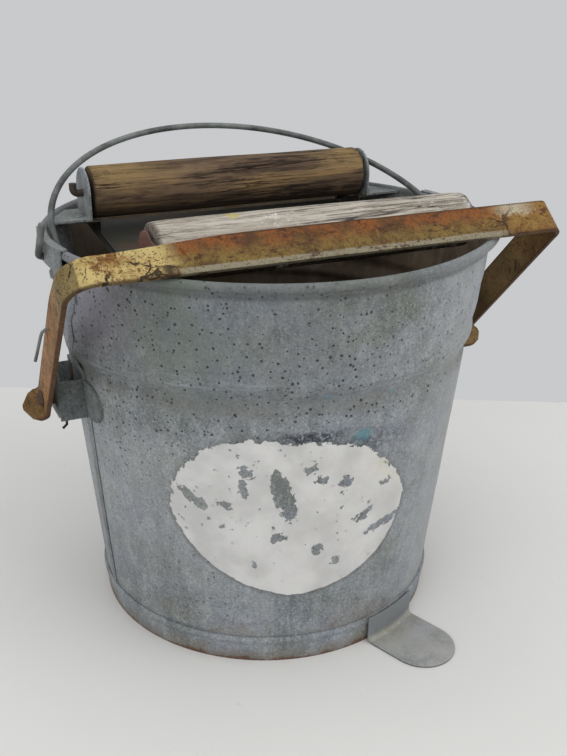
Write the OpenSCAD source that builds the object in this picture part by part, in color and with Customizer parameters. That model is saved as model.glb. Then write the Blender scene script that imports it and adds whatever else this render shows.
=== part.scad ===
// Galvanised mop bucket with a wooden-roller wringer.
// X runs along the rollers, Y points to the back, Z up; the origin is the middle of the foot, on the floor.

/* [Bucket] */
// Diameter over the rolled rim
rim_d = 300; // [280:1:340]
// Outside diameter at the foot
base_d = 242; // [220:1:262]
// Height from the floor to the top of the rim
bucket_h = 272; // [250:1:320]
// Thickness of the galvanised sheet of the wall and bottom
sheet_t = 0.8; // [0.6:0.1:1.1]
// Diameter of the wire that the rim is curled round
rim_wire_d = 4; // [3:0.5:6]
// Distance of the swaged bead under the top of the rim
bead_drop = 65; // [57:1:82]
// How far the bead stands out
bead_depth = 2.2; // [1:0.1:3]
// Distance of the groove under the top of the rim
groove_drop = 76; // [75:1:97]
// How far the groove goes in
groove_depth = 1.8; // [1:0.1:3]
// Height of the bottom sheet above the floor
bottom_z = 9; // [6:0.5:14]
// Height of the hoop round the foot
foot_ring_h = 20; // [16:1:24]
// Thickness of the hoop
foot_ring_t = 1; // [0.8:0.1:1.4]

/* [Foot tab] */
// Direction of the tab round the foot, in degrees from +X
foot_tab_turn = -69; // [-110:1:-60]
// Width of the tab
foot_tab_w = 46; // [36:1:56]
// Reach of the tab from the hoop
foot_tab_reach = 50; // [36:1:60]
// Thickness of the tab
foot_tab_t = 1.6; // [1.2:0.1:2.5]

/* [Bail] */
// Diameter of the bail wire
bail_wire_d = 4.4; // [3.6:0.2:5]
// Length of the bail's straight sides above its hinge line
bail_straight = 10; // [7:1:50]
// Distance of the hinge holes under the top of the rim
bail_drop = 10; // [9:0.5:14]
// Lean of the resting bail from upright, in degrees
bail_lean = 70; // [50:1:71]
// Turn of the hooked ends against the hoop, in degrees
bail_hook_turn = 108; // [60:1:130]
// Length of the straight of the left hooked end
bail_hook_left = 27; // [4:1:32]
// Length of the straight of the right hooked end, which has broken off short
bail_hook_right = 6; // [4:1:32]
// Thickness of the ear plates
ear_t = 1.2; // [1:0.1:1.6]

/* [Lever] */
// Distance of the lever's hinge line under the top of the rim
pivot_drop = 104.6; // [97:0.1:112]
// Distance from the hinge line to the middle of the crossbar
lever_r = 150.6; // [148:0.1:160]
// Lean of the resting lever from upright, in degrees
lever_lean = 41; // [38:0.5:41.5]
// Width of the strap
strap_w = 23; // [20:1:25]
// Thickness of the strap
strap_t = 3; // [2.5:0.1:4]
// Clearance of the strap outside the rim at the crossbar
strap_clear = 10; // [9:0.5:30]
// How much nearer the middle each leg is at the hinge line
strap_taper = 3; // [0:0.5:4]
// Outer radius of the left corner
strap_corner_l = 18; // [8:1:24]
// Outer radius of the right corner
strap_corner_r = 9; // [6:1:24]
// Reach of the left thumb tab outside its leg
thumb_tab_left = 12; // [12:1:32]
// Reach of the right thumb tab outside its leg
thumb_tab_right = 30; // [12:1:32]
// Diameter of the hinge pins
pivot_d = 6; // [5:0.5:8]

/* [Rollers] */
// Diameter of both rollers
roller_d = 36; // [30:1:37]
// Length of the rear roller
rear_roller_l = 207; // [180:1:210]
// Length of the front roller
front_roller_l = 210; // [180:1:212]
// Diameter of the rods through the rollers
axle_d = 5; // [4:0.5:6]
// Distance of the rear roller behind the middle
rear_y = 66.3; // [64:0.1:76]
// Height of the rear roller's middle above the top of the rim
rear_up = 12.5; // [10:0.5:20]
// Distance of the front roller behind the crossbar, across the strap's plane
front_back = 19.5; // [19.5:0.1:24]
// Distance of the front roller above the crossbar's middle, along the strap's width
front_up = 17.5; // [14:0.1:18]
// Thickness of the plates that carry the rollers
plate_t = 1.5; // [1.2:0.1:2]

/* [Drain tray] */
// Height of the tray's rear edge under the top of the rim
tray_drop = 13.5; // [12:0.5:20]
// Fall of the tray towards the front, in degrees
tray_fall = 6.5; // [2:0.5:12]
// Front-to-back length of the tray
tray_l = 72; // [50:1:75]
// Half width of the tray
tray_half = 101; // [90:1:103]

/* [Fits] */
// Radial clearance of a rod or pin that turns
run_gap = 0.08; // [0.04:0.01:0.1]
// Clearance between fixed pieces that lie on each other
seat_gap = 0.1; // [0.05:0.01:0.15]
// Clearance between pieces that move past each other
pass_gap = 0.4; // [0.3:0.1:0.6]

/* [Hidden] */
$fn = 72;

LEFT = -1;
RIGHT = 1;
ZINC = "#8f969b";
RUST = "#8a5a2c";
WOOD = "#8b7355";
DARK = "#5b5347";
DULL_ZINC = "#77817a";
DIRTY_ZINC = "#5f6359";
LUG_PAINT = "#6d3f33";

// Rim bead: the sheet is curled over the wire, outwards from the wall.
bead_r = rim_wire_d / 2 + seat_gap + sheet_t;
bead_cr = rim_d / 2 - bead_r;
bead_cz = bucket_h - bead_r;
wall_top_r = bead_cr - rim_wire_d / 2 - seat_gap;
wall_base_r = base_d / 2 - foot_ring_t - seat_gap;
wall_base_z = 2;
taper = (wall_top_r - wall_base_r) / bead_cz;
taper_deg = atan(taper);
bead_z = bucket_h - bead_drop;
groove_z = bucket_h - groove_drop;
bead_half = 8;
groove_half = 6;
rib_step = 1.6;
ring_roll = 0.9;
ring_roll_h = 7;

// Ears, hinge line of the bail, and the rivets' size
ear_z = bucket_h - bail_drop;
ear_angle = 12;
ear_low = ear_z - 24;
rivet_r = 2;
rivet_head_r = 4;
rivet_head_h = 1.6;
rivet_clench_h = 1;
bail_r = bail_wire_d / 2;
bail_hole_r = bail_r + pass_gap;
bail_wear = 0.05; // how much thinner the straights are than the bends
bail_join = 0.3; // how far a straight runs into a bend
bail_side_gap = 1.3;
bail_half = wall_r(ear_z) - sheet_t - bail_r - bail_side_gap;
bail_bend = 3.5;
ear_out_r = rim_d / 2 + seat_gap + ear_t;

// Lever: directions of its legs, and the frame of its strap
pivot_z = bucket_h - pivot_drop;
strap_half = rim_d / 2 + strap_clear + strap_t;
strap_end = 7.1;
strap_bend = 3;
bore_r = pivot_d / 2 + run_gap;
leg_half = strap_half - strap_taper;
hook_r = 78;
hook_side = 7;
hook_wire_r = 1;
lug_foot = 27;
lug_rivet_in = 19;
lug_rivet_head_r = 3;
lug_rivet_head_h = 0.6;
lug_half = front_roller_l / 2 + 2;
lug_r = 13;

// Hinge brackets on the wall
bracket_half = 18;
bracket_low = pivot_z - 10.4;
bracket_high = pivot_z + 16.6;
bracket_tongue = pivot_z + 28;
bracket_t = 1.5;
bracket_x = leg_half - strap_t - 4.5;
bracket_wing = 39;
wing_r = (bracket_high - bracket_low) / 2 + 0.3;
wing_mid = bracket_wing - wing_r;
pin_inner_x = wall_r(pivot_z) + 4;
pin_head_r = strap_end - 1.6;
pin_neck_r = 4.6;

// Rear roller carriers
rear_z = bucket_h + rear_up;
plate_x = rear_roller_l / 2 + 3;
plate_r = 17;
ledge_z = bucket_h - 2;
flange_low = ledge_z - 32;
axle_reach = plate_x + 8;
axle_bend = 3.5;
axle_tip = 7;

// Tray hangers
hanger_y0 = rear_y - 16;
hanger_y1 = rear_y + 8;
hanger_mid_y = (hanger_y0 + hanger_y1) / 2;
hanger_in = plate_x + plate_t + 1;
hanger_out = hanger_in + 8.5;
hanger_hole_x = hanger_in + 4;
tray_t = 1;
tray_back = rear_y + 22;
tray_lip = 5;
tray_z = bucket_h - tray_drop;

// Outer radius of the plain wall at height z, and with its bead and groove
function wall_r(z) = wall_base_r + taper * z;
function bump(z, mid, half) = abs(z - mid) < half ? pow(cos(90 * (z - mid) / half), 2) : 0;
function swaged_r(z) = wall_r(z) + bead_depth * bump(z, bead_z, bead_half)
                     - groove_depth * bump(z, groove_z, groove_half);
function ring_r(z) = wall_r(z) + seat_gap + foot_ring_t;

// Points of an arc, and a line of points with rounded corners given thickness
function around(a) = [cos(a), sin(a)];
function arc(c, r, a0, a1, n) = [for (i = [0:n]) c + r * around(a0 + (a1 - a0) * i / n)];
function unit(v) = v / norm(v);
function side(v) = [-v[1], v[0]];
function corner(a, b, c, r, n) =
    let (u = unit(a - b), v = unit(c - b), half = acos(u * v) / 2,
         turn = sign(u[0] * v[1] - u[1] * v[0]), reach = r / tan(half),
         mid = b + unit(u + v) * r / sin(half), first = b + u * reach - mid,
         a0 = atan2(first[1], first[0]), sweep = -turn * (180 - 2 * half))
    arc(mid, r, a0, a0 + sweep, n);
function rounded(pts, radii, n) =
    concat([pts[0]],
           [for (i = [1:len(pts) - 2]) each corner(pts[i - 1], pts[i], pts[i + 1], radii[i - 1], n)],
           [pts[len(pts) - 1]]);
function heading(p, i) = unit(p[min(i + 1, len(p) - 1)] - p[max(i - 1, 0)]);
function ribbon(p, t) = concat([for (i = [0:len(p) - 1]) p[i] + side(heading(p, i)) * t / 2],
                               [for (i = [len(p) - 1:-1:0]) p[i] - side(heading(p, i)) * t / 2]);

// Wire swept along a list of points, for bent remains that nothing turns on
function across(d) = abs(d[2]) < 0.9 ? unit(cross(d, [0, 0, 1])) : unit(cross(d, [1, 0, 0]));
function carried(p, i, prev) =
    i >= len(p) ? [] :
    let (d = unit(p[min(i + 1, len(p) - 1)] - p[max(i - 1, 0)]), a = unit(prev - d * (prev * d)))
    concat([[a, cross(d, a)]], carried(p, i + 1, a));
module bent_wire(p, r, sides) {
    frames = carried(p, 0, across(unit(p[1] - p[0])));
    n = len(p);
    pts = [for (i = [0:n - 1], k = [0:sides - 1])
           p[i] + r * (frames[i][0] * cos(360 * k / sides) + frames[i][1] * sin(360 * k / sides))];
    walls = [for (i = [0:n - 2], k = [0:sides - 1]) let (m = (k + 1) % sides, a = i * sides, b = a + sides)
             [a + k, b + k, b + m, a + m]];
    caps = [[for (k = [0:sides - 1]) k], [for (k = [sides - 1:-1:0]) (n - 1) * sides + k]];
    polyhedron(pts, concat(walls, caps), convexity = 6);
}

// Solid of revolution that fills the wall's cone out to an offset from its plain outside
module cone_fill(offset_r, z0, z1) {
    translate([0, 0, z0]) cylinder(h = z1 - z0, r1 = wall_r(z0) + offset_r, r2 = wall_r(z1) + offset_r);
}

// Places a child drawn along +X, at height z, square to the wall, looking outwards in the direction turn
module on_wall(turn, z) {
    rotate([0, 0, turn]) translate([wall_r(z), 0, z]) rotate([0, taper_deg, 0]) children();
}

// Rivet along X through layers from x0 to x1, with a domed head outside and a flat clench inside
module rivet_x(x0, x1, head_r = rivet_head_r, head_h = rivet_head_h) {
    rotate([0, 90, 0]) {
        translate([0, 0, x0 - seat_gap]) cylinder(h = x1 - x0 + 2 * seat_gap, r = rivet_r);
        translate([0, 0, x1 + seat_gap])
            cylinder(h = head_h, r1 = head_r, r2 = head_r * 0.55);
        translate([0, 0, x0 - seat_gap - rivet_clench_h])
            cylinder(h = rivet_clench_h, r1 = rivet_head_r * 0.7, r2 = rivet_head_r * 0.8);
    }
}
module rivet_hole_x(x0, x1) {
    rotate([0, 90, 0]) translate([0, 0, x0]) cylinder(h = x1 - x0, r = rivet_r + seat_gap);
}

// Where the rivets sit: each is a direction round the wall and a height
EAR_RIVETS = [for (s = [0, 180], a = [-7, 7]) [s + a, ear_z - 17]];
CARRIER_RIVETS = [for (a = [151, 29], h = [8, 22]) [a, flange_low + h]];

// Wall of the bucket: one sheet, beaded and grooved, curled over the rim wire
module bucket_body() {
    curl_r = rim_wire_d / 2 + seat_gap;
    zs = [wall_base_z, (wall_base_z + groove_z - groove_half) / 2];
    ribs = [for (z = [groove_z - groove_half : rib_step : bead_z + bead_half]) z];
    outside = concat([for (z = zs) [wall_r(z), z]], [for (z = ribs) [swaged_r(z), z]]);
    inside = [for (i = [len(outside) - 1:-1:0]) outside[i] - [sheet_t, 0]];
    color(ZINC) difference() {
        rotate_extrude() polygon(concat(outside, arc([bead_cr, bead_cz], curl_r, 180, -110, 13),
                                        arc([bead_cr, bead_cz], bead_r, -110, 180, 13), inside));
        for (s = [LEFT, RIGHT]) translate([s * wall_r(ear_z), 0, ear_z])
            rotate([0, 90, 0]) cylinder(h = 8, r = bail_hole_r, center = true);
        for (p = concat(EAR_RIVETS, CARRIER_RIVETS)) on_wall(p[0], p[1]) rivet_hole_x(-4, 4);
    }
}

module rim_wire() {
    color(DARK) rotate_extrude() translate([bead_cr, bead_cz]) circle(r = rim_wire_d / 2);
}

// Bottom: a disc with its edge turned down inside the wall
module bucket_bottom() {
    in_r = wall_r(0) - sheet_t - seat_gap;
    lip_z = 2.4;
    color(ZINC) rotate_extrude() polygon([
        [0, bottom_z - sheet_t], [in_r + taper * bottom_z - sheet_t, bottom_z - sheet_t],
        [in_r + taper * lip_z - sheet_t, lip_z], [in_r + taper * lip_z, lip_z],
        [in_r + taper * bottom_z, bottom_z], [0, bottom_z]]);
}

// Hoop round the foot, with a small roll at its top
module foot_ring() {
    low = foot_ring_h - ring_roll_h;
    steps = [for (i = [0:12]) low + ring_roll_h * i / 12];
    color(ZINC) rotate_extrude() polygon(concat(
        [[ring_r(0), 0]],
        [for (z = steps) [ring_r(z) + ring_roll * pow(sin(180 * (z - low) / ring_roll_h), 2), z]],
        [[ring_r(foot_ring_h) - foot_ring_t, foot_ring_h], [ring_r(0) - foot_ring_t, 0]]));
}

// Tab for the user's foot: an upright flange on the hoop, bent out to a rounded tongue on the floor
module foot_tab() {
    bend = 3;
    in_r = ring_r(foot_ring_h) + seat_gap + ring_roll;
    flat_r = in_r + foot_tab_t + bend;
    overlap = 4;
    half_turn = asin(foot_tab_w / 2 / in_r) + 1;
    round_x = in_r + foot_tab_reach - foot_tab_w / 2;
    color(ZINC) rotate([0, 0, foot_tab_turn]) intersection() {
        union() {
            // flange, bend and the start of the flat, turned about the bucket's axis
            rotate([0, 0, -half_turn]) rotate_extrude(angle = 2 * half_turn) polygon(concat(
                [[in_r, foot_ring_h]], arc([flat_r, foot_tab_t + bend], foot_tab_t + bend, 180, 270, 12),
                [[flat_r + overlap, 0], [flat_r + overlap, foot_tab_t]],
                arc([flat_r, foot_tab_t + bend], bend, 270, 180, 12), [[in_r + foot_tab_t, foot_ring_h]]));
            // tongue
            linear_extrude(foot_tab_t) difference() {
                union() {
                    translate([0, -foot_tab_w / 2]) square([round_x, foot_tab_w]);
                    translate([round_x, 0]) circle(d = foot_tab_w);
                }
                circle(r = flat_r + overlap / 2);
            }
        }
        translate([0, -foot_tab_w / 2, -1]) cube([round_x + foot_tab_w, foot_tab_w, foot_ring_h + 2]);
    }
}

// Ear: a plate curved round the rim, stepped in to the wall below it, with the hole for the bail
module bail_ear(s) {
    low = [wall_r(ear_low) + seat_gap, ear_low];
    knee_z = ear_z - 11;
    mid = [wall_r(knee_z) + seat_gap, knee_z];
    shoulder = [rim_d / 2 + seat_gap, ear_z - 3];
    top = [rim_d / 2 + seat_gap, bucket_h + seat_gap];
    lip = [bead_cr - 1, bucket_h + seat_gap];
    t = ear_t;
    color(ZINC) difference() {
        rotate([0, 0, (s == LEFT ? 180 : 0) - ear_angle]) rotate_extrude(angle = 2 * ear_angle)
            polygon([low, mid, shoulder, top, lip, lip + [0, t], top + [t, t], shoulder + [t, -0.4],
                     mid + [t, -0.4], low + [t, 0]]);
        translate([s * rim_d / 2, 0, ear_z]) rotate([0, 90, 0])
            cylinder(h = 30, r = bail_hole_r, center = true);
        for (p = EAR_RIVETS) on_wall(p[0], p[1]) rivet_hole_x(-4, 6);
    }
}
module bail_ear_left() { bail_ear(LEFT); }
module bail_ear_right() { bail_ear(RIGHT); }

module ear_rivets() {
    color(ZINC) for (p = EAR_RIVETS) on_wall(p[0], p[1]) rivet_x(-sheet_t, seat_gap + ear_t);
}

// Bail: a hoop of wire, leaning back, with both ends hooked outwards through the ears
module bail() {
    out_bend = 3;
    out_x = ear_out_r + 0.75 + bail_r - out_bend;
    color(DARK) translate([0, 0, ear_z]) {
        rotate([-bail_lean, 0, 0]) {
            translate([0, 0, bail_straight]) rotate([90, 0, 0])
                rotate_extrude(angle = 180) translate([bail_half, 0]) circle(r = bail_r);
            for (s = [LEFT, RIGHT]) {
                translate([s * bail_half, 0, bail_bend - bail_join])
                    cylinder(h = bail_straight - bail_bend + 2 * bail_join, r = bail_r - bail_wear);
                translate([s * (bail_half + bail_bend), 0, bail_bend]) rotate([90, 0, 0])
                    rotate([0, 0, s == LEFT ? 270 : 180]) rotate_extrude(angle = 90)
                        translate([bail_bend, 0]) circle(r = bail_r);
            }
        }
        for (s = [LEFT, RIGHT]) {
            // length that turns in the ear
            translate([s * (bail_half + bail_bend - bail_join), 0, 0]) rotate([0, s * 90, 0])
                cylinder(h = out_x - bail_half - bail_bend + 2 * bail_join, r = bail_r - bail_wear);
            rotate([bail_hook_turn - bail_lean, 0, 0]) {
                translate([s * out_x, 0, out_bend]) rotate([90, 0, 0])
                    rotate([0, 0, s == LEFT ? 180 : 270]) rotate_extrude(angle = 90)
                        translate([out_bend, 0]) circle(r = bail_r);
                hook = s == LEFT ? bail_hook_left : bail_hook_right;
                translate([s * (out_x + out_bend), 0, out_bend]) {
                    cylinder(h = hook, r = bail_r);
                    translate([0, 0, hook]) sphere(r = bail_r);
                }
            }
        }
    }
}

// Hinge bracket: a channel of sheet on the wall, open above and below, with a tongue on its outer plate
module pivot_bracket() {
    wing_angle = asin((bracket_wing + 2) / wall_r(pivot_z));
    web_angle = asin((bracket_half - 1) / wall_r(pivot_z));
    in_x = bracket_x - bracket_t;
    cut = 6;
    web_x = wall_r(bracket_low) * cos(web_angle) - 10;
    color(DULL_ZINC) difference() {
        union() {
            // outer plate with its tongue
            translate([in_x, 0, 0]) rotate([90, 0, 90]) linear_extrude(bracket_t) polygon([
                [-bracket_half + cut, bracket_low], [bracket_half - cut, bracket_low],
                [bracket_half, bracket_low + cut], [bracket_half, bracket_high],
                [4, bracket_tongue], [-2, bracket_tongue], [-bracket_half, bracket_high],
                [-bracket_half, bracket_low + cut]]);
            // front and rear webs, from the outer plate to the wall
            difference() {
                for (f = [0, 1]) mirror([0, f, 0]) translate([web_x, bracket_half - bracket_t, bracket_low])
                    cube([bracket_x - web_x, bracket_t, bracket_high - bracket_low]);
                cone_fill(seat_gap, bracket_low - 10, bracket_high + 10);
            }
            // wings on the wall, with round ends
            intersection() {
                for (f = [0, 1]) mirror([0, f, 0]) rotate([0, 0, web_angle])
                    rotate_extrude(angle = wing_angle - web_angle) polygon([
                        [wall_r(bracket_low) + seat_gap, bracket_low],
                        [wall_r(bracket_high) + seat_gap, bracket_high],
                        [wall_r(bracket_high) + seat_gap + bracket_t, bracket_high],
                        [wall_r(bracket_low) + seat_gap + bracket_t, bracket_low]]);
                rotate([90, 0, 90]) linear_extrude(rim_d) {
                    translate([-wing_mid, bracket_low - 1]) square([2 * wing_mid, 2 * wing_r + 1]);
                    for (s = [LEFT, RIGHT]) translate([s * wing_mid, (bracket_low + bracket_high) / 2])
                        circle(r = wing_r);
                }
            }
        }
        translate([in_x, 0, pivot_z]) rotate([0, 90, 0])
            cylinder(h = 10, r = pivot_d / 2 + seat_gap, center = true);
    }
}
module pivot_bracket_left() { mirror([1, 0, 0]) pivot_bracket(); }
module pivot_bracket_right() { pivot_bracket(); }

// Hinge pin: shank through the bracket's plate and the leg, with a neck between them and a head outside
module pivot_pin(s) {
    neck_x = bracket_x + seat_gap;
    leg_lean = atan(strap_taper / lever_r);
    leg_in = leg_half - strap_t - pass_gap - pin_neck_r * tan(leg_lean);
    head_x = leg_half + pass_gap + pin_head_r * tan(leg_lean);
    color(DARK) translate([0, 0, pivot_z]) rotate([0, s * 90, 0]) {
        translate([0, 0, pin_inner_x]) cylinder(h = head_x - pin_inner_x + 1, r = pivot_d / 2);
        translate([0, 0, pin_inner_x]) cylinder(h = 1.2, r = pin_neck_r + 0.8);
        translate([0, 0, neck_x]) cylinder(h = leg_in - neck_x, r = pin_neck_r);
        translate([0, 0, head_x]) cylinder(h = 2.2, r1 = pin_head_r, r2 = pin_head_r * 0.7);
    }
}
module pivot_pin_left() { pivot_pin(LEFT); }
module pivot_pin_right() { pivot_pin(RIGHT); }

// What is left of the return spring on the left: a few turns round the pin, and two broken arms
module spring_remains() {
    wire_r = 0.9;
    coil_r = pivot_d / 2 + wire_r + 0.6;
    coil_x = pin_inner_x + 3;
    turns = 2.25;
    pitch = 2 * wire_r + 0.25;
    coil = [for (a = [0:24:360 * turns])
            [-(coil_x + pitch * a / 360), coil_r * sin(a), pivot_z + coil_r * cos(a)]];
    last_x = -(coil_x + pitch * turns);
    up = [[-(coil_x + 0.4), -14, pivot_z + 27], [-coil_x, -13, pivot_z + 20], [-coil_x, -10, pivot_z + 8]];
    down = [[last_x, coil_r + 2, pivot_z - 8], [last_x + 0.6, 4, pivot_z - 13],
            [last_x + 2, 1, pivot_z - 17], [last_x + 1, -3, pivot_z - 20], [last_x - 2, -4, pivot_z - 22]];
    color(RUST) bent_wire(concat(up, coil, down), wire_r, 8);
}

// Everything on the lever is drawn in its own frame: X across, Y along the legs, Z back across the strap
module on_lever() {
    translate([0, 0, pivot_z]) rotate([90 + lever_lean, 0, 0]) mirror([0, 0, 1]) children();
}

// Lever: one flat strap bent to a U, its ends turned out to rounded thumb tabs
module lever_strap() {
    c = strap_t / 2;
    foot = strap_end + c;
    lean = strap_taper / lever_r;
    leg_x = function(y) leg_half - c + lean * y;
    tab = function(s) c + (s == LEFT ? thumb_tab_left : thumb_tab_right);
    path = [[-leg_x(-foot) - tab(LEFT), -foot], [-leg_x(-foot), -foot], [-leg_x(lever_r), lever_r],
            [leg_x(lever_r), lever_r], [leg_x(-foot), -foot], [leg_x(-foot) + tab(RIGHT), -foot]];
    radii = [strap_bend + c, strap_corner_l - c, strap_corner_r - c, strap_bend + c];
    color(RUST) difference() {
        on_lever() translate([0, 0, -strap_w / 2]) linear_extrude(strap_w)
            polygon(ribbon(rounded(path, radii, 8), strap_t));
        translate([0, 0, pivot_z]) rotate([0, 90, 0]) cylinder(h = 400, r = bore_r, center = true);
        // round the tabs off
        on_lever() for (s = [LEFT, RIGHT]) difference() {
            translate([s * (leg_x(-foot) + tab(s) + 1), -foot, 0])
                cube([strap_w + 2, 8, strap_w + 2], center = true);
            translate([s * (leg_x(-foot) + tab(s) - strap_w / 2), -foot, 0]) rotate([90, 0, 0])
                cylinder(h = 10, r = strap_w / 2, center = true);
        }
        on_lever() {
            for (s = [LEFT, RIGHT]) translate([s * (lug_half - lug_rivet_in), lever_r, 0])
                rotate([90, 0, 0]) cylinder(h = 12, r = rivet_r + seat_gap, center = true);
            translate([-leg_half - 2, hook_r, hook_side]) rotate([0, 90, 0])
                cylinder(h = 12, r = hook_wire_r + 0.2, center = true);
        }
    }
}

// Hooked end of the lost spring, left hanging in a hole of the left leg
module spring_hook() {
    x = leg_half - strap_t / 2 + strap_taper * hook_r / lever_r;
    color(DARK) on_lever() bent_wire([
        [-x + 2.1, hook_r, hook_side], [-x - 3, hook_r, hook_side],
        [-x - 4.6, hook_r - 1.2, hook_side - 0.6], [-x - 5.6, hook_r - 4, hook_side - 2],
        [-x - 7.5, hook_r - 14, hook_side - 6], [-x - 9, hook_r - 20, hook_side - 9]], hook_wire_r, 10);
}

// Lug that carries one end of the front roller: a foot on the crossbar, bent to a rounded plate
module roller_lug(s) {
    in_face = lever_r - strap_t / 2 - seat_gap;
    ax_y = lever_r - front_back;
    foot_w = 6.5;
    foot_mid = -1.5;
    color(LUG_PAINT) on_lever() difference() {
        union() {
            // plate square to the rollers
            translate([s > 0 ? lug_half : -lug_half - plate_t, 0, 0]) rotate([90, 0, 90])
            linear_extrude(plate_t) difference() {
                union() {
                    translate([ax_y, front_up]) circle(r = lug_r);
                    polygon([[in_face, -strap_w / 2 + 3.5], [in_face, strap_w / 2 - 1],
                             [ax_y + 3, front_up + lug_r - 0.4], [ax_y, front_up],
                             [ax_y + 3, front_up - lug_r + 0.4]]);
                }
                translate([in_face, -40]) square([40, 80]);
            }
            // foot along the crossbar, towards the middle
            translate([s > 0 ? lug_half - lug_foot : -lug_half, in_face - plate_t, foot_mid - foot_w])
                cube([lug_foot, plate_t, 2 * foot_w]);
        }
        translate([0, ax_y, front_up]) rotate([0, 90, 0])
            cylinder(h = 400, r = axle_d / 2 + seat_gap, center = true);
        translate([s * (lug_half - lug_rivet_in), in_face, 0]) rotate([90, 0, 0])
            cylinder(h = 12, r = rivet_r + seat_gap, center = true);
    }
}
module roller_lug_left() { roller_lug(LEFT); }
module roller_lug_right() { roller_lug(RIGHT); }

module lug_rivets() {
    color(RUST) on_lever() for (s = [LEFT, RIGHT])
        translate([s * (lug_half - lug_rivet_in), lever_r, 0]) rotate([0, 0, 90])
            rivet_x(-strap_t / 2 - seat_gap - plate_t, strap_t / 2, lug_rivet_head_r, lug_rivet_head_h);
}

// Rod through the front roller, with its ends riveted over outside the lugs
module front_axle() {
    end_x = lug_half + plate_t + seat_gap;
    color(DARK) on_lever() translate([0, lever_r - front_back, front_up]) rotate([0, 90, 0]) {
        cylinder(h = 2 * end_x, r = axle_d / 2, center = true);
        for (s = [LEFT, RIGHT]) translate([0, 0, s * (end_x + 0.9)])
            cylinder(h = 1.8, r = axle_d / 2 + 1.6, center = true);
    }
}

// Turned wooden roller with slightly eased ends, drilled right through
module roller(l) {
    ease = 1.2;
    rotate([0, 90, 0]) difference() {
        rotate_extrude() polygon([[0, -l / 2], [roller_d / 2 - ease, -l / 2], [roller_d / 2, -l / 2 + ease],
                                  [roller_d / 2, l / 2 - ease], [roller_d / 2 - ease, l / 2], [0, l / 2]]);
        cylinder(h = l + 2, r = axle_d / 2 + run_gap, center = true);
    }
}
module front_roller() {
    color(WOOD) on_lever() translate([0, lever_r - front_back, front_up]) roller(front_roller_l);
}
module rear_roller() {
    color(WOOD) translate([0, rear_y, rear_z]) roller(rear_roller_l);
}

// Carrier of one end of the rear roller: a rounded plate, a ledge out to the wall, and a flange down it
module rear_carrier() {
    reach = -sheet_t - seat_gap;
    y0 = rear_y - plate_r;
    y1 = rear_y + plate_r;
    color(ZINC) difference() {
        union() {
            translate([plate_x, 0, 0]) rotate([90, 0, 90]) linear_extrude(plate_t) {
                intersection() {
                    translate([rear_y, rear_z]) circle(r = plate_r);
                    translate([y0, ledge_z - plate_t]) square(3 * plate_r);
                }
                translate([y0, ledge_z - plate_t]) square([2 * plate_r, rear_z - ledge_z + plate_t]);
            }
            intersection() {
                translate([plate_x, y0, ledge_z - plate_t]) cube([rim_d / 2, 2 * plate_r, plate_t]);
                cone_fill(reach, ledge_z - 20, ledge_z + 10);
            }
            intersection() {
                difference() {
                    cone_fill(reach, flange_low, ledge_z);
                    cone_fill(reach - plate_t, flange_low - 1, ledge_z + 1);
                }
                translate([plate_x, y0, flange_low]) cube([rim_d / 2, 2 * plate_r, ledge_z - flange_low]);
            }
        }
        translate([plate_x, rear_y, rear_z]) rotate([0, 90, 0])
            cylinder(h = 10, r = axle_d / 2 + seat_gap, center = true);
        for (p = CARRIER_RIVETS) on_wall(p[0], p[1]) rivet_hole_x(-8, 4);
        hanger_holes(RIGHT);
    }
}
module rear_carrier_left() { mirror([1, 0, 0]) rear_carrier(); }
module rear_carrier_right() { rear_carrier(); }

module carrier_rivets() {
    color(ZINC) for (p = CARRIER_RIVETS) on_wall(p[0], p[1]) rivet_x(-sheet_t - seat_gap - plate_t, 0);
}

// Rod through the rear roller: both ends come through the carriers and are bent up
module rear_axle() {
    color(DARK) translate([0, rear_y, rear_z]) {
        rotate([0, 90, 0]) cylinder(h = 2 * (axle_reach - axle_bend), r = axle_d / 2, center = true);
        for (s = [LEFT, RIGHT]) {
            translate([s * (axle_reach - axle_bend), 0, axle_bend]) rotate([90, 0, 0])
                rotate([0, 0, s == LEFT ? 180 : 270]) rotate_extrude(angle = 90)
                    translate([axle_bend, 0]) circle(r = axle_d / 2);
            translate([s * axle_reach, 0, axle_bend]) cylinder(h = axle_tip - axle_bend, r = axle_d / 2);
        }
    }
}

// Tray under the rear roller, hung from the carriers' ledges
function tray_top(y) = tray_z - (tray_back - y) * tan(tray_fall);
module hanger_holes(s) {
    translate([s * hanger_hole_x, hanger_mid_y, ledge_z - 6]) cylinder(h = 12, r = rivet_r + seat_gap);
}
module drain_tray() {
    hang_z = ledge_z - plate_t - seat_gap;
    color(DIRTY_ZINC) difference() {
        union() {
            // floor of the tray, falling to the front, with a low lip along each side
            translate([0, tray_back, tray_z]) rotate([tray_fall, 0, 0]) {
                translate([-tray_half, -tray_l, -tray_t]) cube([2 * tray_half, tray_l, tray_t]);
                for (x = [-tray_half, tray_half - tray_t])
                    translate([x, -tray_l, -tray_t]) cube([tray_t, tray_l, tray_lip + tray_t]);
            }
            // hangers: up from the lips, notched round the roller, and out under the ledges
            for (s = [LEFT, RIGHT]) {
                translate([s > 0 ? tray_half - tray_t : -tray_half, 0, 0]) rotate([90, 0, 90])
                    linear_extrude(tray_t)
                    polygon([[hanger_y0, tray_top(hanger_y0) + 1], [hanger_y1, tray_top(hanger_y1) + 1],
                             [hanger_y1, hang_z], [hanger_y0, hang_z]]);
                translate([s > 0 ? tray_half - tray_t : -hanger_out, hanger_y0, hang_z - tray_t])
                    cube([hanger_out - tray_half + tray_t, hanger_y1 - hanger_y0, tray_t]);
            }
        }
        for (s = [LEFT, RIGHT]) hanger_holes(s);
        translate([0, rear_y, rear_z]) rotate([0, 90, 0])
            cylinder(h = rear_roller_l + 4 * pass_gap, r = roller_d / 2 + 1.2, center = true);
    }
}
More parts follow.
